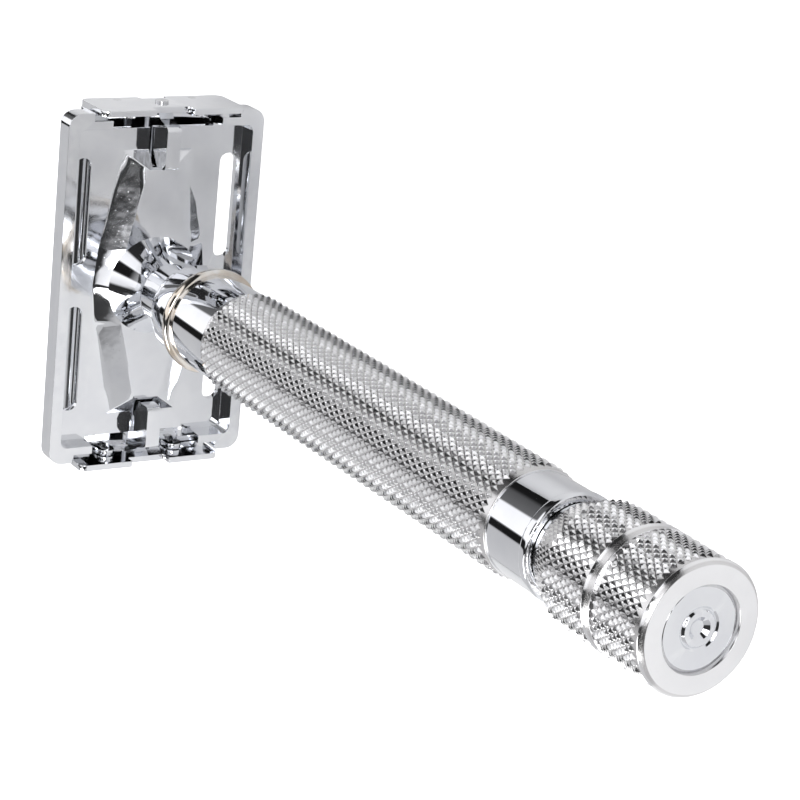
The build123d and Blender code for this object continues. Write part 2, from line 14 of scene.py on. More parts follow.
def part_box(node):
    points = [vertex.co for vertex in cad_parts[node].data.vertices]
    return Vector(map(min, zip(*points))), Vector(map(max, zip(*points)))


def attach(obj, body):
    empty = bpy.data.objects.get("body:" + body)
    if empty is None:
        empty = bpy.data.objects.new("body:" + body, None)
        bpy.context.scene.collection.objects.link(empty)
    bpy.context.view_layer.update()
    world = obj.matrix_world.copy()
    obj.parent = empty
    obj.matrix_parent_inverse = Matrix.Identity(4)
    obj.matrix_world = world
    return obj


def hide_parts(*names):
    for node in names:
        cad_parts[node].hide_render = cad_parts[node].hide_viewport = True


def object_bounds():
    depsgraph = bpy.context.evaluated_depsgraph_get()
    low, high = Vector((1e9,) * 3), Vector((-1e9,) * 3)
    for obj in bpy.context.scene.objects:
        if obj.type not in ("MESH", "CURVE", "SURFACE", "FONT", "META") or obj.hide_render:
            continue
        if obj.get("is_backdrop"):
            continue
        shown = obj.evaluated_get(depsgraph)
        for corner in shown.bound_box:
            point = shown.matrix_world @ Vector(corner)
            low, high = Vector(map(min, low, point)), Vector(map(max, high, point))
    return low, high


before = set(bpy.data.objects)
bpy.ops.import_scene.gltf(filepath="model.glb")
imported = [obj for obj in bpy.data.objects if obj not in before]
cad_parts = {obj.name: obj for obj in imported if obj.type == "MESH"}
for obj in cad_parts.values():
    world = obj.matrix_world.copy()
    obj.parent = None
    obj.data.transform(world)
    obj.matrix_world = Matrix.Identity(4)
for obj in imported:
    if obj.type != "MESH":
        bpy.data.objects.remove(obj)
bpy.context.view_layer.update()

LOG = logging.getLogger("razor")
MM = 0.001

Colour = tuple[float, float, float, float]
OutlinePoint = tuple[float, float, float]


class Body(Enum):
    """The moving bodies that pieces ride on."""

    HANDLE = "handle"
    KNOB = "knob"
    LIFT = "lift"
    UPPER_DOOR = "upper_door"
    LOWER_DOOR = "lower_door"


class Slot(Enum):
    """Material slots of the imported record."""

    CASTING = "chrome_casting"
    TURNED = "chrome_turned"
    KNURLED = "chrome_knurled"
    PIN = "pin_steel"
    INNER = "brass_inner"


# ---------------------------------------------------------------- node helpers
@dataclass
class Graph:
    """Short-hand for placing and linking the nodes of one tree."""

    tree: bpy.types.NodeTree

    def add(self, kind: str, inputs: dict | None = None, **settings: object) -> bpy.types.Node:
        """Place one node.

        Args:
            kind: the node's type name.
            inputs: input name or place to a value or to the socket that feeds it.
            **settings: the node's own properties.

        Returns:
            The new node.
        """
        node = self.tree.nodes.new(kind)
        for key, value in settings.items():
            setattr(node, key, value)
        for key, value in (inputs or {}).items():
            self.feed(node.inputs[key], value)
        return node

    def feed(self, socket: bpy.types.NodeSocket, value: object) -> None:
        """Link a socket to another socket, or set its value.

        Args:
            socket: the input to feed.
            value: an output socket, or a plain value.
        """
        if isinstance(value, bpy.types.NodeSocket):
            self.tree.links.new(value, socket)
        else:
            socket.default_value = value

    def maths(self, operation: str, *values: object) -> bpy.types.NodeSocket:
        """Place a Math node and return its result."""
        return self.add("ShaderNodeMath", dict(enumerate(values)), operation=operation).outputs[0]

    def remap(self, value: object, old: tuple[float, float], new: tuple[float, float]) -> bpy.types.NodeSocket:
        """Map a value from one range to another, held at both ends, and return the result."""
        inputs = {"Value": value, "From Min": old[0], "From Max": old[1], "To Min": new[0], "To Max": new[1]}
        return self.add("ShaderNodeMapRange", inputs, clamp=True).outputs["Result"]

    def blend(self, share: object, first: object, second: object) -> bpy.types.NodeSocket:
        """Mix two colours.

        Args:
            share: how much of the second colour.
            first: the first colour.
            second: the second colour.

        Returns:
            The mixed colour.
        """
        node = self.add("ShaderNodeMix", data_type="RGBA")
        self.feed(node.inputs[0], share)
        self.feed(node.inputs[6], first)
        self.feed(node.inputs[7], second)
        return node.outputs[2]


def new_group(name: str, kind: str, inputs: Sequence[tuple[str, str, object]],
              outputs: Sequence[tuple[str, str]]) -> tuple[Graph, dict, bpy.types.Node]:
    """Start a node group with named sockets.

    Args:
        name: the group's name.
        kind: the tree's type, for shaders or geometry.
        inputs: name, socket type and default of each input.
        outputs: name and socket type of each output.

    Returns:
        The graph, the input sockets by name and the group's output node.
    """
    tree = bpy.data.node_groups.new(name, kind)
    for label, socket, default in inputs:
        item = tree.interface.new_socket(label, in_out="INPUT", socket_type=socket)
        if default is not None:
            item.default_value = default
    for label, socket in outputs:
        tree.interface.new_socket(label, in_out="OUTPUT", socket_type=socket)
    graph = Graph(tree)
    entry = graph.add("NodeGroupInput")
    return graph, {s.name: s for s in entry.outputs}, graph.add("NodeGroupOutput")


FLOAT, COLOUR, INTEGER = "NodeSocketFloat", "NodeSocketColor", "NodeSocketInt"


# ---------------------------------------------------------------- effects shared by the finishes
class Effects:
    """Shader node groups that the finishes share, each built once."""

    def __init__(self) -> None:
        """Build every group."""
        self.tone = self._tone()
        self.polish = self._polish()
        self.grain = self._grain()
        # Painted highlight along the sharp outer edges.
        self.painted_edge_highlight = self._painted_edge_highlight()
        # Painted shade for the knurl's valleys.
        self.crest = self._painted_valley_shade()

    @staticmethod
    def _tone() -> bpy.types.NodeTree:
        """Slow drift of the plating's colour between two tones.

        Returns:
            The node group.
        """
        graph, given, out = new_group("plating_tone", "ShaderNodeTree",
                                      [("Scale", FLOAT, 120.0), ("Light", COLOUR, None),
                                       ("Dark", COLOUR, None)],
                                      [("Colour", COLOUR)])
        place = graph.add("ShaderNodeTexCoord").outputs["Object"]
        noise = graph.add("ShaderNodeTexNoise", {"Vector": place, "Scale": given["Scale"], "Detail": 3.0,
                                                 "Roughness": 0.6})
        share = graph.remap(noise.outputs["Fac"], (0.38, 0.66), (0.0, 1.0))
        graph.feed(out.inputs["Colour"], graph.blend(share, given["Light"], given["Dark"]))
        return graph.tree

    @staticmethod
    def _polish() -> bpy.types.NodeTree:
        """Roughness of a polished surface: smears, and hairlines along the handle.

        Returns:
            The node group.
        """
        graph, given, out = new_group("polish", "ShaderNodeTree",
                                      [("Base", FLOAT, 0.05), ("Smear", FLOAT, 0.03), ("Hairline", FLOAT, 0.05),
                                       ("Scale", FLOAT, 200.0)],
                                      [("Roughness", FLOAT)])
        place = graph.add("ShaderNodeTexCoord").outputs["Object"]
        smear = graph.add("ShaderNodeTexNoise", {"Vector": place, "Scale": given["Scale"], "Detail": 4.0})
        stretched = graph.add("ShaderNodeMapping", {"Vector": place, "Scale": (0.12, 1.0, 1.0)})
        hair = graph.add("ShaderNodeTexNoise", {"Vector": stretched.outputs[0], "Scale": 5200.0, "Detail": 2.0})
        blurred = graph.remap(smear.outputs["Fac"], (0.4, 0.7), (0.0, 1.0))
        smeared = graph.maths("MULTIPLY", blurred, given["Smear"])
        lines = graph.maths("MULTIPLY", graph.remap(hair.outputs["Fac"], (0.62, 0.72), (0.0, 1.0)),
                            given["Hairline"])
        total = graph.maths("ADD", given["Base"], graph.maths("ADD", smeared, lines))
        graph.feed(out.inputs["Roughness"], total)
        return graph.tree

    @staticmethod
    def _grain() -> bpy.types.NodeTree:
        """Height of the faint orange peel and pits left in a plated surface.

        Returns:
            The node group.
        """
        graph, given, out = new_group("plated_grain", "ShaderNodeTree",
                                      [("Scale", FLOAT, 900.0), ("Wave", FLOAT, 0.5), ("Pits", FLOAT, 0.2)],
                                      [("Height", FLOAT)])
        place = graph.add("ShaderNodeTexCoord").outputs["Object"]
        wave = graph.add("ShaderNodeTexNoise", {"Vector": place, "Scale": given["Scale"], "Detail": 2.0})
        fine = graph.maths("MULTIPLY", given["Scale"], 5.0)
        pits = graph.add("ShaderNodeTexVoronoi", {"Vector": place, "Scale": fine})
        pit_depth = graph.remap(pits.outputs["Distance"], (0.0, 0.16), (-1.0, 0.0))
        height = graph.maths("ADD", graph.maths("MULTIPLY", wave.outputs["Fac"], given["Wave"]),
                             graph.maths("MULTIPLY", pit_depth, given["Pits"]))
        graph.feed(out.inputs["Height"], height)
        return graph.tree

    @staticmethod
    def _painted_edge_highlight() -> bpy.types.NodeTree:
        """Mask of the sharp outer edges, broken up by noise, where a highlight is painted.

        Returns:
            The node group.
        """
        graph, given, out = new_group("painted_edge_highlight", "ShaderNodeTree",
                                      [("Amount", FLOAT, 1.0), ("Scale", FLOAT, 700.0)], [("Mask", FLOAT)])
        place = graph.add("ShaderNodeTexCoord").outputs["Object"]
        edge = graph.remap(graph.add("ShaderNodeNewGeometry").outputs["Pointiness"], (0.52, 0.62), (0.0, 1.0))
        noise = graph.add("ShaderNodeTexNoise", {"Vector": place, "Scale": given["Scale"], "Detail": 3.0})
        broken = graph.maths("MULTIPLY", edge, graph.remap(noise.outputs["Fac"], (0.4, 0.6), (0.3, 1.0)))
        graph.feed(out.inputs["Mask"], graph.maths("MULTIPLY", broken, given["Amount"]))
        return graph.tree

    @staticmethod
    def _painted_valley_shade() -> bpy.types.NodeTree:
        """Mask of the painted shade in the knurl's valleys: one in the valleys and nothing on the crests, by
        distance from the axis.

        Returns:
            The node group.
        """
        graph, given, out = new_group("knurl_painted_valley_shade", "ShaderNodeTree",
                                      [("Axis Height", FLOAT, 0.0), ("Root Radius", FLOAT, 0.006),
                                       ("Crest Radius", FLOAT, 0.0065)],
                                      [("Mask", FLOAT)])
        split = graph.add("ShaderNodeSeparateXYZ", {0: graph.add("ShaderNodeTexCoord").outputs["Object"]})
        rise = graph.maths("SUBTRACT", split.outputs["Z"], given["Axis Height"])
        square = graph.maths("ADD", graph.maths("POWER", split.outputs["Y"], 2.0),
                             graph.maths("POWER", rise, 2.0))
        radius = graph.maths("SQRT", square)
        span = graph.maths("SUBTRACT", given["Crest Radius"], given["Root Radius"])
        share = graph.maths("DIVIDE", graph.maths("SUBTRACT", radius, given["Root Radius"]), span)
        facing = graph.add("ShaderNodeSeparateXYZ", {0: graph.add("ShaderNodeTexCoord").outputs["Normal"]})
        sideways = graph.remap(graph.maths("ABSOLUTE", facing.outputs["X"]), (0.85, 0.97), (1.0, 0.0))
        valley = graph.remap(share, (0.0, 0.4), (1.0, 0.0))
        graph.feed(out.inputs["Mask"], graph.maths("MULTIPLY", valley, sideways))
        return graph.tree


@dataclass(frozen=True)
class Knurling:
    """Radii that a knurled finish needs to find its valleys, where it paints shade."""

    axis_height: float
    root_radius: float
    crest_radius: float


@dataclass(frozen=True)
class Finish:
    """A plated or bare metal finish, with a highlight of given strength painted on its sharp edges."""

    name: str
    light: Colour
    dark: Colour
    base: float
    smear: float
    hairline: float
    grain_scale: float
    wave: float
    pits: float
    bump: float
    # Strength of the highlight painted on the sharp edges.
    edge_highlight: float
    tone_scale: float = 140.0

    def material(self, effects: Effects, knurling: Knurling | None = None) -> bpy.types.Material:
        """Build the finish as a material.

        Args:
            effects: the shared node groups.
            knurling: where the valleys lie, on a knurled piece, to paint shade in them.

        Returns:
            The new material.
        """
        material = bpy.data.materials.new(self.name)
        material.use_nodes = True
        graph = Graph(material.node_tree)
        shader = material.node_tree.nodes["Principled BSDF"]
        shader.inputs["Metallic"].default_value = 1.0
        shader.inputs["IOR"].default_value = 2.5

        def effect(tree: bpy.types.NodeTree, **values: object) -> bpy.types.NodeSocket:
            """Place a shared group with its own values.

            Args:
                tree: the group.
                **values: its inputs, with underscores for spaces.

            Returns:
                The group's output.
            """
            node = graph.add("ShaderNodeGroup", node_tree=tree)
            for key, value in values.items():
                node.inputs[key.replace("_", " ")].default_value = value
            return node.outputs[0]

        tone = effect(effects.tone, Scale=self.tone_scale, Light=self.light, Dark=self.dark)
        rough = effect(effects.polish, Base=self.base, Smear=self.smear, Hairline=self.hairline)
        height = effect(effects.grain, Scale=self.grain_scale, Wave=self.wave, Pits=self.pits)
        if self.edge_highlight > 0.0:
            # Painted highlight: the sharp outer edges are lightened towards near white, and also roughened.
            mask = effect(effects.painted_edge_highlight, Amount=self.edge_highlight)
            tone = graph.blend(mask, tone, (0.93, 0.94, 0.95, 1.0))
            rough = graph.maths("ADD", rough, graph.maths("MULTIPLY", mask, 0.08))
        if knurling is not None:
            # Painted shade: the knurl's valleys are darkened towards a warm grey and roughened.
            mask = effect(effects.crest, Axis_Height=knurling.axis_height, Root_Radius=knurling.root_radius,
                          Crest_Radius=knurling.crest_radius)
            tone = graph.blend(graph.maths("MULTIPLY", mask, 0.4), tone, (0.46, 0.44, 0.43, 1.0))
            rough = graph.maths("ADD", rough, graph.maths("MULTIPLY", mask, 0.10))
        graph.feed(shader.inputs["Base Color"], tone)
        graph.feed(shader.inputs["Roughness"], rough)
        bump = graph.add("ShaderNodeBump", {"Strength": 1.0, "Distance": self.bump, "Height": height})
        graph.feed(shader.inputs["Normal"], bump.outputs["Normal"])
        return material


@dataclass(frozen=True)
class Finishes:
    """Every finish on the razor, as materials."""

    casting: bpy.types.Material
    turned: bpy.types.Material
    # Ring finish whose brown tone is a painted reflection.
    ring: bpy.types.Material
    grip_knurl: bpy.types.Material
    knob_knurl: bpy.types.Material
    pin: bpy.types.Material
    inner: bpy.types.Material

    @classmethod
    def make(cls, grip: Knurling, knob: Knurling) -> "Finishes":
        """Build the materials.

        Args:
            grip: the handle tube's knurl.
            knob: the knob's knurl.

        Returns:
            The set of finishes.
        """
        effects = Effects()
        light, shade = (0.86, 0.87, 0.89, 1.0), (0.79, 0.80, 0.83, 1.0)
        casting = Finish("chrome_casting", light, shade, base=0.045, smear=0.05, hairline=0.03,
                         grain_scale=420.0, wave=0.6, pits=0.12, bump=0.00002, edge_highlight=0.8)
        turned = Finish("chrome_turned", (0.85, 0.86, 0.88, 1.0), shade, base=0.03, smear=0.03, hairline=0.05,
                        grain_scale=160.0, wave=0.4, pits=0.05, bump=0.000012, edge_highlight=0.5)
        # Painted reflection: the ring's tone drifts at random towards a warm brown that stands in for brownish
        # reflections.
        ring = Finish("chrome_ring_painted_reflection", (0.86, 0.84, 0.81, 1.0), (0.72, 0.62, 0.50, 1.0), base=0.05, smear=0.05,
                      hairline=0.05, grain_scale=300.0, wave=0.4, pits=0.1, bump=0.00001, edge_highlight=0.5,
                      tone_scale=260.0)
        knurled = Finish("chrome_knurled", (0.95, 0.95, 0.96, 1.0), (0.90, 0.90, 0.91, 1.0), base=0.09,
                         smear=0.05, hairline=0.05, grain_scale=1500.0, wave=0.7, pits=0.3, bump=0.000012,
                         edge_highlight=0.0)
        pin = Finish("pin_steel", (0.74, 0.74, 0.75, 1.0), (0.55, 0.55, 0.56, 1.0), base=0.16, smear=0.1,
                     hairline=0.06, grain_scale=1800.0, wave=0.5, pits=0.4, bump=0.00001, edge_highlight=0.4)
        inner = Finish("brass_inner", (0.78, 0.62, 0.36, 1.0), (0.55, 0.42, 0.24, 1.0), base=0.22, smear=0.12,
                       hairline=0.08, grain_scale=900.0, wave=0.5, pits=0.3, bump=0.00001, edge_highlight=0.3)
        return cls(casting.material(effects), turned.material(effects), ring.material(effects),
                   knurled.material(effects, grip), knurled.material(effects, knob),
                   pin.material(effects), inner.material(effects))


# ---------------------------------------------------------------- making and fastening pieces
def node_box(node: str) -> tuple[Vector, Vector]:
    """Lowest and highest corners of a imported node."""
    low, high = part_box(node)
    return Vector(low), Vector(high)


def link_mesh(name: str, mesh: bpy.types.Mesh) -> bpy.types.Object:
    """Put a mesh into the scene as a new object at the origin.

    Args:
        name: the object's name.
        mesh: its mesh.

    Returns:
        The new object.
    """
    piece = bpy.data.objects.new(name, mesh)
    bpy.context.scene.collection.objects.link(piece)
    return piece


def fasten(piece: bpy.types.Object, body: Body, slot: Slot, *nodes: str) -> None:
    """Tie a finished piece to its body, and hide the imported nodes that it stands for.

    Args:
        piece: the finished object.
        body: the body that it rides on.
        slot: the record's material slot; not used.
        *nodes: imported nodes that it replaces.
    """
    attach(piece, body.value)
    if nodes:
        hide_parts(*nodes)
    LOG.info("%s rides on %s, %d faces", piece.name, body.value, len(piece.data.polygons))


def dress(material: bpy.types.Material, *nodes: str) -> None:
    """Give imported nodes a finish.

    Args:
        material: the finish.
        *nodes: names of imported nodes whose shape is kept.
    """
    for name in nodes:
        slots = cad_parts[name].data.materials
        slots.clear()
        slots.append(material)
        LOG.info("%s keeps its packed shape", name)


def keep_result(piece: bpy.types.Object) -> None:
    """Turn what the modifiers make into the piece's plain mesh, and remove the modifiers.

    Args:
        piece: the object with the modifiers.
    """
    graph = bpy.context.evaluated_depsgraph_get()
    result = bpy.data.meshes.new_from_object(piece.evaluated_get(graph))
    piece.modifiers.clear()
    piece.data = result


@dataclass(frozen=True)
class Casting:
    """A packed casting with its edges broken and its flats shaded true."""

    node: str
    body: Body
    edge_radius: float = 0.12 * MM
    weld: float = 0.001 * MM
    flat_angle: float = math.radians(0.4)
    edge_angle: float = math.radians(32.0)

    def build(self, material: bpy.types.Material, slot: Slot = Slot.CASTING) -> bpy.types.Object:
        """Copy the node's mesh, join its triangles, round its edges and fasten it.

        Args:
            material: the finish.
            slot: the record's material slot.

        Returns:
            The finished piece.
        """
        shell = bmesh.new()
        shell.from_mesh(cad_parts[self.node].data)
        bmesh.ops.remove_doubles(shell, verts=shell.verts, dist=self.weld)
        bmesh.ops.dissolve_degenerate(shell, edges=shell.edges, dist=self.weld)
        bmesh.ops.dissolve_limit(shell, angle_limit=self.flat_angle, verts=shell.verts, edges=shell.edges,
                                 use_dissolve_boundaries=False)
        mesh = bpy.data.meshes.new(f"{self.node}_finished")
        shell.to_mesh(mesh)
        shell.free()
        mesh.shade_smooth()
        mesh.materials.append(material)
        piece = link_mesh(f"{self.node}_finished", mesh)
        bevel = piece.modifiers.new("broken_edges", "BEVEL")
        bevel.width = self.edge_radius
        bevel.segments = 2
        bevel.limit_method = "ANGLE"
        bevel.angle_limit = self.edge_angle
        bevel.use_clamp_overlap = True
        bevel.miter_outer = "MITER_ARC"
        normals = piece.modifiers.new("true_flats", "WEIGHTED_NORMAL")
        normals.mode = "FACE_AREA"
        normals.weight = 100
        keep_result(piece)
        fasten(piece, self.body, slot, self.node)
        return piece


def rounded(points: Sequence[OutlinePoint], steps: int = 5) -> list[tuple[float, float]]:
    """Round the corners of an open outline.

    Args:
        points: station, radius and corner radius of each point.
        steps: straight pieces in each rounded corner.

    Returns:
        The outline's points, with arcs at the rounded corners.
    """
    outline: list[tuple[float, float]] = []
    for index, (x, r, corner) in enumerate(points):
        if corner == 0.0 or index in (0, len(points) - 1):
            outline.append((x, r))
            continue
        here = Vector((x, r))
        before = Vector(points[index - 1][:2]) - here
        after = Vector(points[index + 1][:2]) - here
        half = before.angle(after) / 2.0
        reach = min(corner / math.tan(half), before.length * 0.49, after.length * 0.49)
        start, end = here + before.normalized() * reach, here + after.normalized() * reach
        for step in range(steps + 1):
            share = step / steps
            bend = start.lerp(here, share).lerp(here.lerp(end, share), share)
            outline.append((bend.x, bend.y))
    return outline


@dataclass(frozen=True)
class Turning:
    """A piece turned in a lathe: an outline revolved round the handle's axis."""

    name: str
    outline: Sequence[OutlinePoint]
    segments: int = 144
    sharp_angle: float = math.radians(34.0)

    def build(self, axis_height: float, material: bpy.types.Material) -> bpy.types.Object:
        """Revolve the closed outline.

        Args:
            axis_height: height of the handle's axis.
            material: the finish.

        Returns:
            The turned object, not yet fastened.
        """
        outline = rounded(self.outline)
        shell = bmesh.new()
        rings: list[list[bmesh.types.BMVert]] = []
        for x, r in outline:
            if r < 1e-7:
                rings.append([shell.verts.new((x, 0.0, axis_height))] * self.segments)
                continue
            ring = []
            for turn in range(self.segments):
                angle = 2.0 * math.pi * turn / self.segments
                ring.append(shell.verts.new((x, r * math.sin(angle), axis_height + r * math.cos(angle))))
            rings.append(ring)
        on_axis = outline[0][1] < 1e-7 and outline[-1][1] < 1e-7
        pairs = list(zip(rings, rings[1:])) + ([] if on_axis else [(rings[-1], rings[0])])
        for near, far in pairs:
            for turn in range(self.segments):
                after = (turn + 1) % self.segments
                corners = [near[turn], near[after], far[after], far[turn]]
                face = list(dict.fromkeys(corners))
                if len(face) > 2:
                    shell.faces.new(face)
        bmesh.ops.remove_doubles(shell, verts=shell.verts, dist=1e-8)
        bmesh.ops.recalc_face_normals(shell, faces=shell.faces)
        mesh = bpy.data.meshes.new(self.name)
        shell.to_mesh(mesh)
        shell.free()
        mesh.shade_smooth()
        mesh.set_sharp_from_angle(angle=self.sharp_angle)
        mesh.materials.append(material)
        return link_mesh(self.name, mesh)


# ---------------------------------------------------------------- knurling
@dataclass(frozen=True)
class KnurlBand:
    """One band of diamond knurling round the handle's axis."""

    start: float
    length: float
    crest_radius: float
    lead_radius: float
    lead_length: float
    starts: int = 44
    pitch: float = 1.4 * MM
    depth: float = 0.28 * MM
    crest_share: float = 0.22
    unevenness: float = 0.12
    seed: int = 3


class KnurlTool:
    """The geometry tree that rolls diamond studs onto a turned core."""

    SINK = 0.02 * MM

    def __init__(self) -> None:
        """Build the tree."""
        self.tree = self._build()

    def _build(self) -> bpy.types.NodeTree:
        """Lay studs on a flat grid of pitch and angle, then wrap them round the axis.

        Returns:
            The geometry tree.
        """
        inputs = [("Geometry", "NodeSocketGeometry", None), ("Start", FLOAT, 0.0), ("Length", FLOAT, 0.06),
                  ("Pitch", FLOAT, 0.002), ("Starts", INTEGER, 30), ("Crest Radius", FLOAT, 0.006),
                  ("Lead Radius", FLOAT, 0.006), ("Lead Length", FLOAT, 0.0), ("Depth", FLOAT, 0.0004),
                  ("Crest Share", FLOAT, 0.15), ("Unevenness", FLOAT, 0.1), ("Axis Height", FLOAT, 0.0),
                  ("Seed", INTEGER, 0), ("Material", "NodeSocketMaterial", None)]
        graph, given, out = new_group("diamond_knurl", "GeometryNodeTree", inputs,
                                      [("Geometry", "NodeSocketGeometry")])
        half_pitch = graph.maths("MULTIPLY", given["Pitch"], 0.5)
        fitting = graph.maths("DIVIDE", given["Length"], half_pitch)
        rows = graph.maths("FLOOR", graph.maths("SUBTRACT", fitting, 1.0))
        cell = graph.maths("DIVIDE", 2.0 * math.pi, given["Starts"])
        span_x = graph.maths("MULTIPLY", graph.maths("SUBTRACT", rows, 1.0), half_pitch)
        span_y = graph.maths("MULTIPLY", graph.maths("SUBTRACT", given["Starts"], 1.0), cell)
        grid = graph.add("GeometryNodeMeshGrid", {"Size X": span_x, "Size Y": span_y, "Vertices X": rows,
                                                  "Vertices Y": given["Starts"]})
        flat = graph.add("ShaderNodeSeparateXYZ", {0: graph.add("GeometryNodeInputPosition").outputs[0]})
        from_first = graph.maths("ADD", flat.outputs["X"], graph.maths("MULTIPLY", span_x, 0.5))
        row = graph.maths("ROUND", graph.maths("DIVIDE", from_first, half_pitch))
        odd = graph.maths("MODULO", row, 2.0)
        stagger = graph.add("ShaderNodeCombineXYZ", {"Y": graph.maths("MULTIPLY", odd,
                                                                      graph.maths("MULTIPLY", cell, 0.5))})
        seats = graph.add("GeometryNodeSetPosition", {"Geometry": grid.outputs["Mesh"],
                                                      "Offset": stagger.outputs[0]})
        stud = graph.add("GeometryNodeMeshCone", {"Vertices": 4, "Side Segments": 1, "Fill Segments": 1,
                                                  "Radius Top": given["Crest Share"], "Radius Bottom": 1.0,
                                                  "Depth": 1.0})
        chance = graph.add("FunctionNodeRandomValue", {"Seed": given["Seed"]}, data_type="FLOAT")
        loss = graph.maths("MULTIPLY", chance.outputs[1], given["Unevenness"])
        tall = graph.maths("MULTIPLY", given["Depth"], graph.maths("SUBTRACT", 1.0, loss))
        size = graph.add("ShaderNodeCombineXYZ", {"X": half_pitch, "Y": graph.maths("MULTIPLY", cell, 0.5),
                                                  "Z": tall})
        laid = graph.add("GeometryNodeInstanceOnPoints", {"Points": seats.outputs["Geometry"],
                                                          "Instance": stud.outputs["Mesh"],
                                                          "Scale": size.outputs[0]})
        sheet = graph.add("GeometryNodeRealizeInstances", {"Geometry": laid.outputs["Instances"]})
        wrapped = graph.add("GeometryNodeSetPosition",
                            {"Geometry": sheet.outputs["Geometry"],
                             "Position": self._wrap(graph, given, span_x, half_pitch)})
        facets = graph.add("GeometryNodeSetShadeSmooth", {"Geometry": wrapped.outputs["Geometry"],
                                                          "Shade Smooth": False})
        joined = graph.add("GeometryNodeJoinGeometry")
        graph.feed(joined.inputs[0], facets.outputs["Geometry"])
        graph.feed(joined.inputs[0], given["Geometry"])
        whole = graph.add("GeometryNodeRealizeInstances", {"Geometry": joined.outputs[0]})
        finished = graph.add("GeometryNodeSetMaterial", {"Geometry": whole.outputs["Geometry"],
                                                         "Material": given["Material"]})
        graph.feed(out.inputs["Geometry"], finished.outputs["Geometry"])
        return graph.tree

    def _wrap(self, graph: Graph, given: dict, span_x: bpy.types.NodeSocket,
              half_pitch: bpy.types.NodeSocket) -> bpy.types.NodeSocket:
        """Place of a point of the flat sheet once it is wrapped round the axis.

        Args:
            graph: the tree's graph.
            given: the tree's input sockets.
            span_x: length of the grid of stud centres.
            half_pitch: distance between rows.

        Returns:
            The wrapped position.
        """
        flat = graph.add("ShaderNodeSeparateXYZ", {0: graph.add("GeometryNodeInputPosition").outputs[0]})
        middle = graph.maths("ADD", graph.maths("MULTIPLY", span_x, 0.5), half_pitch)
        along = graph.maths("ADD", flat.outputs["X"], middle)
        rise = graph.maths("SUBTRACT", given["Crest Radius"], given["Lead Radius"])
        slope = graph.maths("DIVIDE", rise, given["Lead Length"])
        cone = graph.maths("ADD", given["Lead Radius"], graph.maths("MULTIPLY", along, slope))
        crest = graph.maths("MINIMUM", given["Crest Radius"], cone)
        root = graph.maths("SUBTRACT", crest, graph.maths("ADD", given["Depth"], self.SINK))
        radius = graph.maths("ADD", root, flat.outputs["Z"])
        side = graph.maths("MULTIPLY", radius, graph.maths("SINE", flat.outputs["Y"]))
        lift = graph.maths("MULTIPLY", radius, graph.maths("COSINE", flat.outputs["Y"]))
        place = graph.add("ShaderNodeCombineXYZ", {"X": graph.maths("ADD", along, given["Start"]), "Y": side,
                                                   "Z": graph.maths("ADD", lift, given["Axis Height"])})
        return place.outputs[0]

    def roll(self, core: bpy.types.Object, bands: Sequence[KnurlBand], axis_height: float,
             material: bpy.types.Material) -> None:
        """Roll bands of knurling onto a turned core and keep the result as its mesh.

        Args:
            core: the turned object, at the knurl's root radius.
            bands: the bands to roll.
            axis_height: height of the handle's axis.
            material: the knurled finish.
        """
        for band in bands:
            tool = core.modifiers.new("knurl", "NODES")
            tool.node_group = self.tree
            values = {"Start": band.start, "Length": band.length, "Pitch": band.pitch, "Starts": band.starts,
                      "Crest Radius": band.crest_radius, "Lead Radius": band.lead_radius,
                      "Lead Length": band.lead_length, "Depth": band.depth, "Crest Share": band.crest_share,
                      "Unevenness": band.unevenness, "Axis Height": axis_height, "Seed": band.seed,
                      "Material": material}
            for item in self.tree.interface.items_tree:
                if item.in_out == "INPUT" and item.name in values:
                    tool[item.identifier] = values[item.name]
        keep_result(core)


# ---------------------------------------------------------------- sub-assemblies
@dataclass(frozen=True)
class Head:
    """Guard, doors, lift bar and end caps, with their pins and rivets."""

    finishes: Finishes
    fine_edge: float = 0.08 * MM
    ends: tuple[str, ...] = ("left", "right")
    edges: tuple[str, ...] = ("upper", "lower")

    def build(self) -> None:
        """Finish the castings and dress the pins."""
        Casting("guard_plate", Body.HANDLE).build(self.finishes.casting)
        Casting("lift_bar", Body.LIFT, self.fine_edge).build(self.finishes.casting)
        Casting("upper_door", Body.UPPER_DOOR, self.fine_edge).build(self.finishes.casting)
        Casting("lower_door", Body.LOWER_DOOR, self.fine_edge).build(self.finishes.casting)
        for end in self.ends:
            Casting(f"end_cap_{end}", Body.LIFT).build(self.finishes.casting)
            dress(self.finishes.pin, f"cap_rivet_{end}")
            for edge in self.edges:
                dress(self.finishes.pin, f"hinge_pin_{end}_{edge}", f"lift_pin_{end}_{edge}")


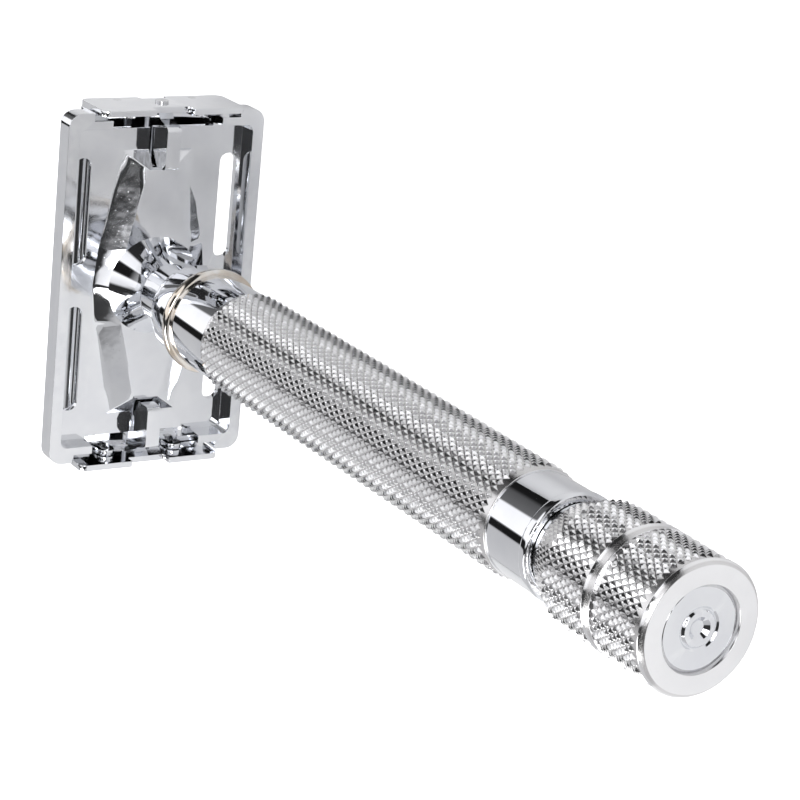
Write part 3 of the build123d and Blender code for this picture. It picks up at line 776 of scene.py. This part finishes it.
@dataclass(frozen=True)
class Neck:
    """Flare under the head, collar, bead ring and upper ferrule."""

    finishes: Finishes
    axis_height: float
    core_radius: float = 3.0 * MM
    stem_bore: float = 2.0 * MM
    ridge_depth: float = 0.9 * MM
    neck_radius: float = 3.7 * MM
    flare_length: float = 4.2 * MM
    flare_curve: float = 12.0 * MM
    arc_steps: int = 18
    collar_lip: float = 0.55 * MM
    collar_step: float = 0.35 * MM
    collar_front: float = 0.9 * MM
    collar_ramp: float = 0.25 * MM
    ferrule_groove: float = 0.22 * MM
    tube_wall: float = 1.55 * MM
    ferrule_lead: float = 0.5 * MM

    def build(self) -> None:
        """Make the turned pieces and smooth the flare."""
        self._flare()
        self._collar()
        self._ring()
        self._ferrule()

    def _flare(self) -> None:
        """Flare that spreads from the neck onto the guard's ridge."""
        low, high = node_box("neck_flare")
        foot = node_box("guard_plate")[1].x - self.ridge_depth
        shoulder = node_box("neck_collar")[0].x
        radius = (high.y - low.y) / 2.0
        start, end = Vector((foot, radius)), Vector((foot + self.flare_length, self.neck_radius))
        chord = end - start
        centre = (start + end) / 2.0 + Vector((-chord.y, chord.x)).normalized() * math.sqrt(
            self.flare_curve ** 2 - (chord.length / 2.0) ** 2)
        first = math.atan2(start.y - centre.y, start.x - centre.x)
        sweep = math.atan2(end.y - centre.y, end.x - centre.x) - first
        turns = [first + sweep * step / self.arc_steps for step in range(self.arc_steps + 1)]
        arc = [centre + self.flare_curve * Vector((math.cos(turn), math.sin(turn))) for turn in turns]
        outline = [(low.x, self.stem_bore, 0.0), (low.x, self.core_radius, 0.0), (foot, self.core_radius, 0.0)]
        outline += [(point.x, point.y, 0.0) for point in arc]
        outline += [(shoulder, self.neck_radius, 0.0), (shoulder, self.core_radius, 0.0),
                    (high.x, self.core_radius, 0.0), (high.x, self.stem_bore, 0.0)]
        piece = Turning("neck_flare_turned", outline).build(self.axis_height, self.finishes.turned)
        fasten(piece, Body.HANDLE, Slot.TURNED, "neck_flare")

    def _collar(self) -> None:
        """Collar with a rounded front lip."""
        low, high = node_box("neck_collar")
        radius = (high.y - low.y) / 2.0
        step = radius - self.collar_step
        waist = low.x + self.collar_front
        outline = [(low.x, self.core_radius, 0.0), (low.x, step, 0.3 * MM), (waist, step, 0.05 * MM),
                   (waist + self.collar_ramp, radius, self.collar_lip), (high.x, radius, 0.12 * MM),
                   (high.x, self.core_radius, 0.0)]
        piece = Turning("neck_collar_turned", outline).build(self.axis_height, self.finishes.turned)
        fasten(piece, Body.HANDLE, Slot.TURNED, "neck_collar")

    def _ring(self) -> None:
        """Round bead between collar and ferrule."""
        low, high = node_box("neck_ring")
        radius = (high.y - low.y) / 2.0
        bead = (high.x - low.x) * 0.5
        outline = [(low.x, self.core_radius, 0.0), (low.x, radius, bead), (high.x, radius, bead),
                   (high.x, self.core_radius, 0.0)]
        piece = Turning("neck_ring_turned", outline).build(self.axis_height, self.finishes.ring)
        fasten(piece, Body.HANDLE, Slot.TURNED, "neck_ring")

    def _ferrule(self) -> None:
        """Upper ferrule: a polished sleeve with a spigot inside the tube."""
        low, high = node_box("upper_ferrule")
        radius = (high.y - low.y) / 2.0
        tube_low, tube_high = node_box("handle_tube")
        bore = (tube_high.y - tube_low.y) / 2.0 - self.tube_wall
        outline = [(low.x, self.core_radius, 0.0), (low.x, radius - self.ferrule_groove, 0.1 * MM),
                   (low.x + self.ferrule_lead, radius, 0.3 * MM),
                   (tube_low.x, radius, 0.05 * MM), (tube_low.x, bore, 0.0),
                   (high.x, bore, 0.2 * MM), (high.x, self.core_radius, 0.0)]
        piece = Turning("upper_ferrule_turned", outline).build(self.axis_height, self.finishes.turned)
        fasten(piece, Body.HANDLE, Slot.TURNED, "upper_ferrule")


@dataclass(frozen=True)
class Grip:
    """Knurled handle tube and the lower ferrule that plugs it."""

    finishes: Finishes
    axis_height: float
    knurl: KnurlTool
    wall: float = 1.5 * MM
    end_margin: float = 0.15 * MM
    lip: float = 0.35 * MM
    lip_length: float = 1.15 * MM
    lip_rise: float = 0.1 * MM
    lip_ramp: float = 0.2 * MM

    def band(self) -> KnurlBand:
        """Place the tube's band of knurling.

        Returns:
            The band.
        """
        low, high = node_box("handle_tube")
        radius = (high.y - low.y) / 2.0
        length = high.x - low.x - 2.0 * self.end_margin
        return KnurlBand(low.x + self.end_margin, length, radius, radius, 0.0)

    def build(self) -> None:
        """Make the tube and its ferrule."""
        low, high = node_box("handle_tube")
        band = self.band()
        root, bore = band.crest_radius - band.depth, band.crest_radius - self.wall
        outline = [(low.x, bore, 0.0), (low.x, root, 0.15 * MM), (high.x, root, 0.15 * MM), (high.x, bore, 0.0)]
        tube = Turning("handle_tube_knurled", outline).build(self.axis_height, self.finishes.grip_knurl)
        self.knurl.roll(tube, [band], self.axis_height, self.finishes.grip_knurl)
        fasten(tube, Body.HANDLE, Slot.KNURLED, "handle_tube")
        self._ferrule(high.x, bore)

    def _ferrule(self, shoulder: float, bore: float) -> None:
        """Lower ferrule with a rounded lip at its knob end.

        Args:
            shoulder: station where the tube ends.
            bore: the tube's bore radius.
        """
        low, high = node_box("lower_ferrule")
        radius = (high.y - low.y) / 2.0
        bush = (node_box("journal_bush")[1].y - node_box("journal_bush")[0].y) / 2.0
        sleeve = radius - self.lip_rise
        lip_start = high.x - self.lip_length
        outline = [(low.x, bush, 0.0), (low.x, bore, 0.2 * MM), (shoulder, bore, 0.0),
                   (shoulder, sleeve, 0.12 * MM), (lip_start, sleeve, 0.05 * MM),
                   (lip_start + self.lip_ramp, radius, self.lip), (high.x, radius, self.lip),
                   (high.x, bush, 0.0)]
        piece = Turning("lower_ferrule_turned", outline).build(self.axis_height, self.finishes.turned)
        fasten(piece, Body.HANDLE, Slot.TURNED, "lower_ferrule")


@dataclass(frozen=True)
class Knob:
    """Knurled knob with its waist groove, end band, recessed plug and thrust washer."""

    finishes: Finishes
    axis_height: float
    knurl: KnurlTool
    shaft_radius: float = 2.0 * MM
    lead_radius: float = 5.3 * MM
    lead_length: float = 3.7 * MM
    groove_place: float = 10.85 * MM
    groove_half: float = 0.62 * MM
    groove_depth: float = 0.6 * MM
    rim: float = 0.06 * MM
    end_band: float = 0.62 * MM
    chamfer: float = 0.5 * MM
    starts: int = 50
    pitch: float = 1.25 * MM

    def bands(self) -> list[KnurlBand]:
        """Place the knurled bands before and behind the groove.

        Returns:
            The front band and the rear band.
        """
        low, high = node_box("knob_barrel")
        crest = (high.y - low.y) / 2.0
        front_end = low.x + self.groove_place - self.groove_half - self.rim
        rear_start = low.x + self.groove_place + self.groove_half + self.rim
        return [KnurlBand(low.x, front_end - low.x, crest, self.lead_radius, self.lead_length, self.starts,
                          self.pitch, seed=5),
                KnurlBand(rear_start, high.x - self.end_band - rear_start, crest, crest, 0.0, self.starts,
                          self.pitch, seed=8)]

    def build(self) -> None:
        """Make the barrel, its plug and the washer."""
        low, high = node_box("knob_barrel")
        plug_low, plug_high = node_box("knob_end_plug")
        plug = (plug_high.y - plug_low.y) / 2.0
        front, rear = self.bands()
        crest, root = front.crest_radius, front.crest_radius - front.depth
        skin = crest - 0.03 * MM
        groove = low.x + self.groove_place
        front_end, band_start = front.start + front.length, high.x - self.end_band
        outline = [(low.x, self.shaft_radius, 0.0), (low.x, self.lead_radius - front.depth, 0.1 * MM),
                   (low.x + self.lead_length, root, 0.0), (front_end, root, 0.0), (front_end, skin, 0.05 * MM),
                   (front_end + self.rim, skin, 0.08 * MM), (groove, crest - self.groove_depth, 0.1 * MM),
                   (rear.start - self.rim, skin, 0.08 * MM), (rear.start, skin, 0.05 * MM),
                   (rear.start, root, 0.0), (band_start, root, 0.0), (band_start, skin, 0.1 * MM),
                   (high.x - self.chamfer, skin, 0.25 * MM), (high.x, crest - self.chamfer, 0.25 * MM),
                   (high.x, plug + 0.1 * MM, 0.08 * MM), (high.x - 0.45 * MM, plug, 0.0),
                   (plug_low.x, plug, 0.0),
                   (plug_low.x, self.shaft_radius, 0.0)]
        barrel = Turning("knob_barrel_knurled", outline).build(self.axis_height, self.finishes.knob_knurl)
        self.knurl.roll(barrel, [front, rear], self.axis_height, self.finishes.knob_knurl)
        fasten(barrel, Body.KNOB, Slot.KNURLED, "knob_barrel")
        self._plug(plug_low.x, plug_high.x, plug)
        dress(self.finishes.turned, "thrust_washer")

    def _plug(self, start: float, face: float, radius: float) -> None:
        """End plug with a turned ring and a centre dimple.

        Args:
            start: station of its inner face.
            face: station of its outer face.
            radius: its radius.
        """
        edge, ring, dimple = radius - 0.3 * MM, 1.95 * MM, 1.2 * MM
        outline = [(start, 0.0, 0.0), (start, radius, 0.0), (face - 0.3 * MM, radius, 0.1 * MM),
                   (face - 0.08 * MM, edge, 0.2 * MM), (face - 0.08 * MM, ring + 0.25 * MM, 0.05 * MM),
                   (face - 0.3 * MM, ring, 0.1 * MM), (face, ring - 0.25 * MM, 0.1 * MM),
                   (face, dimple, 0.15 * MM), (face - 0.45 * MM, dimple - 0.5 * MM, 0.2 * MM),
                   (face - 0.5 * MM, 0.0, 0.0)]
        piece = Turning("knob_end_plug_turned", outline).build(self.axis_height, self.finishes.turned)
        fasten(piece, Body.KNOB, Slot.TURNED, "knob_end_plug")


@dataclass(frozen=True)
class InnerWorks:
    """Pieces hidden in the handle: stem, spindle, guide, bush, pin and clip."""

    finishes: Finishes

    def build(self) -> None:
        """Dress the hidden pieces."""
        dress(self.finishes.inner, "lift_stem", "spindle", "stem_guide", "journal_bush")
        dress(self.finishes.pin, "cross_pin", "retaining_clip")


# ---------------------------------------------------------------- studio and camera
@dataclass(frozen=True)
class Sector:
    """A stretch of the surroundings, by its angle round the handle's axis from +Y up to +Z."""

    start: float
    brightness: float


@dataclass(frozen=True)
class Softbox:
    """One square soft light, aimed at the razor."""

    name: str
    place: tuple[float, float, float]
    size: float
    power: float

    def build(self) -> None:
        """Hang the light."""
        light = bpy.data.lights.new(self.name, "AREA")
        light.size = self.size
        light.energy = self.power
        lamp = bpy.data.objects.new(self.name, light)
        lamp.location = self.place
        lamp.rotation_euler = (-Vector(self.place)).to_track_quat("-Z", "Y").to_euler()
        bpy.context.scene.collection.objects.link(lamp)


@dataclass(frozen=True)
class Studio:
    """Pale floor, soft surroundings with a few dark flags, and soft lights."""

    floor_size: float = 4.0
    floor_gap: float = 0.05 * MM
    softboxes: tuple[Softbox, ...] = (Softbox("key_softbox", (0.10, -0.35, 0.45), 0.35, 1.5),
                                      Softbox("front_softbox", (0.45, 0.10, 0.30), 0.22, 0.6))
    panorama: tuple[Sector, ...] = (
        Sector(-180.0, 0.62), Sector(-3.0, 0.62), Sector(-1.0, 0.010), Sector(14.0, 0.012), Sector(22.0, 0.10),
        Sector(48.0, 0.16), Sector(52.0, 1.15), Sector(90.0, 1.25), Sector(93.0, 0.012), Sector(107.0, 0.012),
        Sector(110.0, 0.58), Sector(180.0, 0.66))
    ahead: tuple[Sector, ...] = (
        Sector(-180.0, 0.60), Sector(0.0, 0.60), Sector(3.0, 0.02), Sector(30.0, 0.03), Sector(34.0, 1.1),
        Sector(52.0, 1.2), Sector(55.0, 0.012), Sector(74.0, 0.012), Sector(77.0, 1.3), Sector(95.0, 0.9),
        Sector(99.0, 0.03), Sector(138.0, 0.05), Sector(143.0, 0.55), Sector(180.0, 0.62))

    def build(self) -> None:
        """Make the floor, the surroundings and the lights."""
        self._floor()
        self._surroundings()
        for softbox in self.softboxes:
            softbox.build()

    def _floor(self) -> None:
        """Pale floor under the razor, brighter to the eye than to the chrome."""
        half = self.floor_size / 2.0
        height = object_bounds()[0][2] - self.floor_gap
        mesh = bpy.data.meshes.new("floor")
        corners = [(-half, -half, height), (half, -half, height), (half, half, height), (-half, half, height)]
        mesh.from_pydata(corners, [], [(0, 1, 2, 3)])
        material = bpy.data.materials.new("pale_floor")
        material.use_nodes = True
        graph = Graph(material.node_tree)
        shader = material.node_tree.nodes["Principled BSDF"]
        place = graph.add("ShaderNodeTexCoord").outputs["Object"]
        noise = graph.add("ShaderNodeTexNoise", {"Vector": place, "Scale": 30.0, "Detail": 2.0})
        tone = graph.blend(noise.outputs["Fac"], (0.90, 0.90, 0.90, 1.0), (0.93, 0.93, 0.93, 1.0))
        graph.feed(shader.inputs["Base Color"], tone)
        shader.inputs["Roughness"].default_value = 0.9
        shader.inputs["Emission Color"].default_value = (1.0, 1.0, 1.0, 1.0)
        seen = graph.add("ShaderNodeLightPath").outputs["Is Camera Ray"]
        graph.feed(shader.inputs["Emission Strength"], graph.maths("MULTIPLY", seen, 1.0))
        mesh.materials.append(material)
        link_mesh("floor", mesh)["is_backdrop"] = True

    def _surroundings(self) -> None:
        """World: plain white to the eye, a soft panorama with dark flags to the chrome."""
        world = bpy.data.worlds.new("studio")
        bpy.context.scene.world = world
        world.use_nodes = True
        graph = Graph(world.node_tree)
        way = graph.add("ShaderNodeSeparateXYZ", {0: graph.add("ShaderNodeTexCoord").outputs["Generated"]})
        angle = graph.maths("ARCTAN2", way.outputs["Z"], way.outputs["Y"])
        turn = graph.remap(angle, (-math.pi, math.pi), (0.0, 1.0))
        share = graph.remap(way.outputs["X"], (-0.55, 0.0), (0.0, 1.0))
        chrome_view = graph.blend(share, self._ramp(graph, turn, self.panorama),
                                  self._ramp(graph, turn, self.ahead))
        plain = graph.add("ShaderNodeBackground", {"Color": (1.0, 1.0, 1.0, 1.0), "Strength": 1.0})
        lit = graph.add("ShaderNodeBackground", {"Color": chrome_view, "Strength": 1.0})
        eye = graph.add("ShaderNodeLightPath").outputs["Is Camera Ray"]
        mix = graph.add("ShaderNodeMixShader", {0: eye, 1: lit.outputs[0], 2: plain.outputs[0]})
        graph.feed(world.node_tree.nodes["World Output"].inputs["Surface"], mix.outputs[0])

    @staticmethod
    def _ramp(graph: Graph, turn: bpy.types.NodeSocket, sectors: Sequence[Sector]) -> bpy.types.NodeSocket:
        """Colour ramp of the surroundings over one full turn.

        Args:
            graph: the world's graph.
            turn: share of a full turn.
            sectors: the sectors in order.

        Returns:
            The ramp's colour.
        """
        ramp = graph.add("ShaderNodeValToRGB", {"Fac": turn})
        stops = ramp.color_ramp.elements
        for index, sector in enumerate(sectors):
            place = (sector.start + 180.0) / 360.0
            stop = stops[index] if index < 2 else stops.new(place)
            stop.position = place
            stop.color = (sector.brightness, sector.brightness, sector.brightness * 1.02, 1.0)
        return ramp.outputs["Color"]


@dataclass(frozen=True)
class CameraRig:
    """Camera above the knob's end, looking back along the handle at the head."""

    axis_height: float
    reach: float = 53.92 * MM
    aside: float = 3.09 * MM
    drop: float = 1.84 * MM
    azimuth: float = math.radians(20.94)
    elevation: float = math.radians(30.99)
    roll: float = math.radians(-95.33)
    distance: float = 293.1 * MM
    focal_length: float = 124.7

    def build(self) -> None:
        """Aim the camera from the guard's rim plane and make it the scene's camera."""
        rim = node_box("guard_plate")[1].x
        aim = Vector((rim + self.reach, self.aside, self.axis_height - self.drop))
        back = Vector((math.cos(self.elevation) * math.cos(self.azimuth),
                       math.cos(self.elevation) * math.sin(self.azimuth), math.sin(self.elevation)))
        level = Vector((0.0, 0.0, 1.0))
        level = (level - level.dot(back) * back).normalized()
        up = Matrix.Rotation(self.roll, 3, back) @ level
        data = bpy.data.cameras.new("camera")
        data.lens = self.focal_length
        data.clip_start = 0.01
        camera = bpy.data.objects.new("camera", data)
        bpy.context.scene.collection.objects.link(camera)
        turn = Matrix((up.cross(back), up, back)).transposed().to_4x4()
        turn.translation = aim + back * self.distance
        camera.matrix_world = turn
        bpy.context.scene.camera = camera


def main() -> None:
    """Build the razor's looks in order, then the studio and the camera."""
    logging.basicConfig(level=logging.INFO, format="%(name)s: %(message)s")
    bpy.context.scene.view_settings.view_transform = "Standard"
    low, high = node_box("handle_tube")
    axis_height = (low.z + high.z) / 2.0
    tube_radius = (high.z - low.z) / 2.0
    knob_low, knob_high = node_box("knob_barrel")
    knob_radius = (knob_high.z - knob_low.z) / 2.0
    depth = KnurlBand.depth
    finishes = Finishes.make(Knurling(axis_height, tube_radius - depth, tube_radius),
                             Knurling(axis_height, knob_radius - depth, knob_radius))
    knurl = KnurlTool()
    CameraRig(axis_height).build()
    Head(finishes).build()
    Neck(finishes, axis_height).build()
    Grip(finishes, axis_height, knurl).build()
    Knob(finishes, axis_height, knurl).build()
    InnerWorks(finishes).build()
    Studio().build()


if __name__ == "__main__":
    main()
